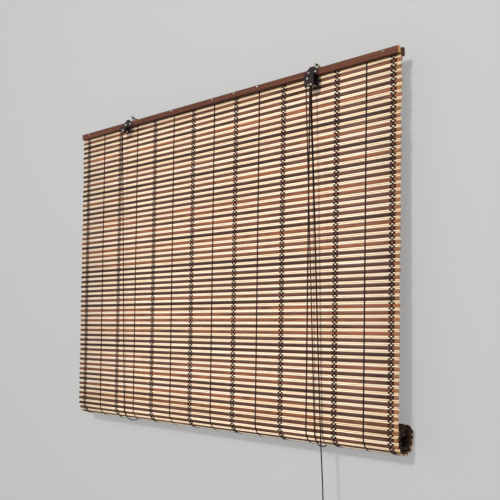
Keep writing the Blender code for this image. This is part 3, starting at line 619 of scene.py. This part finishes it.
def weave(name, body, first, last):
    """The slats, reeds and yarns of a run of repeats, as four pieces on one body."""
    slats, reeds = bmesh.new(), bmesh.new()
    for repeat in range(first, last):
        slat, upper, lower = stick_middles(repeat)
        lay_stick(slats, SLAT_SHAPE, slat, 0.05)
        lay_stick(reeds, REED_SHAPE, upper, 0.10)
        lay_stick(reeds, REED_SHAPE, lower, 0.10)
    band_routes = [
        yarn_route(x + k * YARN_STEP, k % 2, 0.0, first, last) for x in BAND_X for k in (-1, 0, 1)
    ]
    line_routes = [yarn_route(x, k, LINE_SWAY, first, last) for x in LINE_X for k in (0, 1)]
    bands = tube_mesh(band_routes, YARN_W / 2, YARN_SIDES, YARN_T / YARN_W)
    lines = tube_mesh(line_routes, LINE_W / 2, YARN_SIDES, YARN_T / LINE_W)
    pieces = [
        add_piece(f"{name}_slats", slats, BROWN_SLAT, body),
        add_piece(f"{name}_reeds", reeds, CREAM_REED, body),
        add_piece(f"{name}_bands", bands, YARN, body),
        add_piece(f"{name}_lines", lines, YARN, body),
    ]
    if body == "roll":
        pieces[0].data.materials.append(SHADED_SLAT_END)
        pieces[1].data.materials.append(SHADED_REED_END)
    return pieces


HEAD_REPEATS = STEADY_REPEATS + TURNING_REPEATS
steady = weave("steady_fabric", "headrail", 0, STEADY_REPEATS)
turning = weave("turning_fabric", "headrail", STEADY_REPEATS, HEAD_REPEATS)
hanging = weave("hanging_fabric", "roll_carriage", HEAD_REPEATS, HANGING_REPEATS)
rolled = weave("rolled_fabric", "roll", HANGING_REPEATS, REPEATS)
bands_of = [f"warp_band_{i + 1}" for i in range(len(BAND_X))]
lines_of = [f"warp_line_{i + 1}" for i in range(len(LINE_X))]
for slats, reeds, bands, lines in (steady, turning, hanging):
    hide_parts("hanging_fabric")
    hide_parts("hanging_fabric")
    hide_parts(*bands_of)
    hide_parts(*lines_of)
for piece in rolled:
    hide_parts("rolled_fabric")

# As the roll rises, the fabric above it keeps meeting the roll's front. The hanging and turning
# stretches each take a mesh of their own.
for piece in hanging:
    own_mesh(piece)
for piece in turning:
    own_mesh(piece)
finish_node("bottom_batten", DARK_MAHOGANY)

# ---- Lift cords ----
# The same braided cord runs from a staple on the back batten, down behind the blind, under the
# roll and up its front to a sheave. The left cord then crosses to the lock along the battens.

CRADLE_R = ROLL_R + TOUCH_GAP + CORD_D / 2
LIFT_SKEW = 0.0130
LIFT_RIGHT_X = LOCK_X - SHEAVE_R
LIFT_LEFT_X = LEFT_X - SHEAVE_R
BACK_BATTEN_T = 0.006
BACK_FACE_Y = FABRIC_Y + FABRIC_HALF + 2 * TOUCH_GAP + BACK_BATTEN_T
REAR_CORD_Y = BACK_FACE_Y + TOUCH_GAP + CORD_D / 2
STAPLE_Z = -0.0180
STAPLE_REACH = 0.0011  # how far above the staple's middle the cord ends
RUN_GAP = 0.0001  # between a straight run's end and the cradle
RUN_POINTS = 40
CRADLE_STEPS = 30


def touch(y, z, side):
    """Where a cord from (y, z) touches the cradle, and its angle round the roll in radians."""
    dy, dz = y - ROLL_Y, z - ROLL_Z
    lean = math.asin(CRADLE_R / math.hypot(dy, dz)) - side * math.atan2(dy, dz)
    return ROLL_Y + side * CRADLE_R * math.cos(lean), ROLL_Z + CRADLE_R * math.sin(lean), lean


def straight(start, end, count=RUN_POINTS):
    return [start.lerp(end, i / (count - 1)) for i in range(count)]


def round_sheave(x, y, first, last, steps):
    """Points round a sheave from one angle to another, in degrees up from +X."""
    spots = [math.radians(first + (last - first) * i / steps) for i in range(steps + 1)]
    return [
        Vector((x + SHEAVE_R * math.cos(a), y, SHEAVE_Z + SHEAVE_R * math.sin(a))) for a in spots
    ]


def cord_piece(name, route, body, node):
    form = tube_mesh([route], BRAID_D / 2, CORD_SIDES)
    piece = add_piece(name, form, CORD_MATERIAL, body)
    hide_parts(node)
    return piece


def straight_run(name, start, end, node):
    """A taut run from the head to the roll, with a mesh of its own."""
    piece = cord_piece(name, straight(start, end), "headrail", node)
    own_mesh(piece)


KNOT_CORD_D = 0.0015
KNOT_SIDES = 8
KNOT_R = 0.00062
KNOT_DEPTH = 0.00070
KNOT_STEPS = 36
KNOT_Y = REAR_CORD_Y + 0.0009
KNOT_Z = STAPLE_Z + 0.0034


def knot_route(x):
    """An overhand knot: a trefoil that lies flat against the back batten."""
    points = []
    for i in range(KNOT_STEPS):
        a = 2 * math.pi * i / KNOT_STEPS
        sideways = KNOT_R * (math.sin(a) + 2 * math.sin(2 * a))
        upwards = KNOT_R * (math.cos(a) - 2 * math.cos(2 * a))
        inwards = KNOT_DEPTH * math.sin(3 * a)
        points.append(Vector((x + sideways, KNOT_Y - inwards, KNOT_Z + upwards)))
    return points


for side, top_x, roll_x, groove_y in (
    ("left", LIFT_LEFT_X, LIFT_LEFT_X, REAR_GROOVE_Y),
    ("right", LIFT_RIGHT_X, LIFT_RIGHT_X + LIFT_SKEW, FRONT_GROOVE_Y),
):
    front_y, front_z, front_lean = touch(groove_y, SHEAVE_Z, -1)
    start = Vector((top_x, groove_y, SHEAVE_Z - TOUCH_GAP))
    end = Vector((roll_x, front_y, front_z + RUN_GAP))
    straight_run(f"front_run_{side}", start, end, f"lift_cord_{side}_front")
    back_y, back_z, back_lean = touch(REAR_CORD_Y, STAPLE_Z + STAPLE_REACH, 1)
    start = Vector((roll_x, REAR_CORD_Y, STAPLE_Z + STAPLE_REACH))
    end = Vector((roll_x, back_y, back_z + RUN_GAP))
    straight_run(f"rear_run_{side}", start, end, f"lift_cord_{side}_rear")
    first, last = math.pi - front_lean, 2 * math.pi + back_lean
    angles = [first + (last - first) * i / CRADLE_STEPS for i in range(CRADLE_STEPS + 1)]
    under = [
        Vector((roll_x, ROLL_Y + CRADLE_R * math.cos(a), ROLL_Z + CRADLE_R * math.sin(a)))
        for a in angles
    ]
    cord_piece(f"cradle_{side}", under, "roll_carriage", f"lift_cord_{side}_cradle")
    knot = tube_mesh([knot_route(roll_x)], KNOT_CORD_D / 2, KNOT_SIDES)
    piece = add_piece(f"knot_{side}", knot, CORD_MATERIAL, "headrail")
    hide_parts(f"cord_knot_{side}")
    finish_node(f"cord_staple_{side}", BRIGHT_STEEL)

over = round_sheave(LOCK_X, FRONT_GROOVE_Y, 180, 0, 16)
over.append(Vector((PULL_X, FRONT_GROOVE_Y, MOUTH_Z)))
cord_piece("over_lock_sheave", over, "headrail", "lift_cord_right_over_sheave")
across_from = round_sheave(LEFT_X, REAR_GROOVE_Y, 180, 90, 8)
across_to = round_sheave(LOCK_X, REAR_GROOVE_Y, 90, 0, 8)
across = across_from + straight(across_from[-1], across_to[0])[1:-1] + across_to
across.append(Vector((PULL_X, REAR_GROOVE_Y, MOUTH_Z)))
cord_piece("header_cord", across, "headrail", "lift_cord_left_header")

# ---- Hooks, hanger plates, pulley and cord lock ----
# Pressed steel plates with a dark bronze finish are screwed to the front batten. They hold
# plastic sheaves on bright riveted axles, and the blind hangs from screw eyes on wall hooks.

BLACK_PLASTIC = hardware_material(
    "black_plastic", (0.018, 0.015, 0.014), (0.05, 0.045, 0.04), 0.45, 0.0
)
WORN_BRONZE = hardware_material("worn_bronze", (0.11, 0.085, 0.065), (0.30, 0.25, 0.20), 0.36)
for name in ("pulley_bracket", "cord_lock_housing"):
    finish_node(name, DARK_BRONZE)
for name in ("wall_hook_left", "wall_hook_right", "hanger_eye_left", "hanger_eye_right"):
    finish_node(name, WORN_BRONZE)
for name in ("left_pulley", "lock_sheave_front", "lock_sheave_rear"):
    finish_node(name, BLACK_PLASTIC)
for name in (
    "pulley_axle", "lock_sheave_axle", "lock_anvil_pin", "lock_roller", "pulley_spacer",
    "lock_spacer", "bracket_screw_left", "bracket_screw_right", "lock_screw_left",
    "lock_screw_right",
):
    finish_node(name, BRIGHT_STEEL)
finish_node("pull_tassel", MAHOGANY)

# ---- Wall, floor and light ----
# A plain pale wall behind the blind and a floor below it. A small lamp and a broad one stand in
# front, high on the right, and a weak broad one fills in from the left.


def plain_surface(name, colour, half_size, place):
    """A square sheet of one colour, and its shader and node tree for more settings."""
    form = bmesh.new()
    bmesh.ops.create_grid(form, x_segments=1, y_segments=1, size=half_size, matrix=place)
    mesh = bpy.data.meshes.new(name)
    form.to_mesh(mesh)
    form.free()
    material, shader, tree = add_material(name)
    shader.inputs["Base Color"].default_value = (*colour, 1.0)
    shader.inputs["Roughness"].default_value = 0.9
    mesh.materials.append(material)
    surface = bpy.data.objects.new(name, mesh)
    bpy.context.scene.collection.objects.link(surface)
    return shader, tree


# The wall glows a little, so that shadows on it stay faint, and it is clear from behind.
WALL_COLOUR = (0.185, 0.185, 0.1845)
WALL_GLOW = 1.6
WALL_Y = 0.0002
FLOOR_Z = -1.9
wall_place = Matrix.Translation((0, WALL_Y, 0)) @ Matrix.Rotation(math.radians(90), 4, "X")
wall_shader, wall_tree = plain_surface("wall", WALL_COLOUR, 4.0, wall_place)
wall_shader.inputs["Emission Color"].default_value = (*WALL_COLOUR, 1.0)
wall_shader.inputs["Emission Strength"].default_value = WALL_GLOW
facing = add_node(wall_tree, "ShaderNodeNewGeometry")
clear = add_node(wall_tree, "ShaderNodeBsdfTransparent")
mix = add_node(wall_tree, "ShaderNodeMixShader")
wall_tree.links.new(facing.outputs["Backfacing"], mix.inputs["Fac"])
wall_tree.links.new(wall_shader.outputs["BSDF"], mix.inputs[1])
wall_tree.links.new(clear.outputs["BSDF"], mix.inputs[2])
wall_tree.links.new(mix.outputs["Shader"], wall_tree.nodes["Material Output"].inputs["Surface"])
plain_surface("floor", (0.60, 0.60, 0.59), 6.0, Matrix.Translation((0, 0, FLOOR_Z)))

LAMP_TARGET = Vector((0.0, 0.0, -0.4))
WARM_WHITE = (1.0, 0.985, 0.965)
PLAIN_WHITE = (1.0, 1.0, 1.0)


def soft_light(name, place, size, power, colour):
    """A square lamp that faces the blind."""
    data = bpy.data.lights.new(name, "AREA")
    data.shape = "SQUARE"
    data.size = size
    data.energy = power
    data.color = colour
    lamp = bpy.data.objects.new(name, data)
    bpy.context.scene.collection.objects.link(lamp)
    lamp.location = place
    lamp.rotation_euler = (LAMP_TARGET - Vector(place)).to_track_quat("-Z", "Y").to_euler()


soft_light("key_light", (0.72, -3.0, 0.9), 0.28, 93.0, WARM_WHITE)
soft_light("soft_key_light", (0.9, -3.0, 1.1), 1.9, 30.0, WARM_WHITE)
soft_light("fill_light", (-2.4, -2.4, 0.2), 2.5, 30.0, PLAIN_WHITE)
world = bpy.data.worlds.new("pale_room")
bpy.context.scene.world = world
world.use_nodes = True
background = world.node_tree.nodes["Background"]
background.inputs["Color"].default_value = (0.80, 0.82, 0.85, 1.0)
background.inputs["Strength"].default_value = 0.36
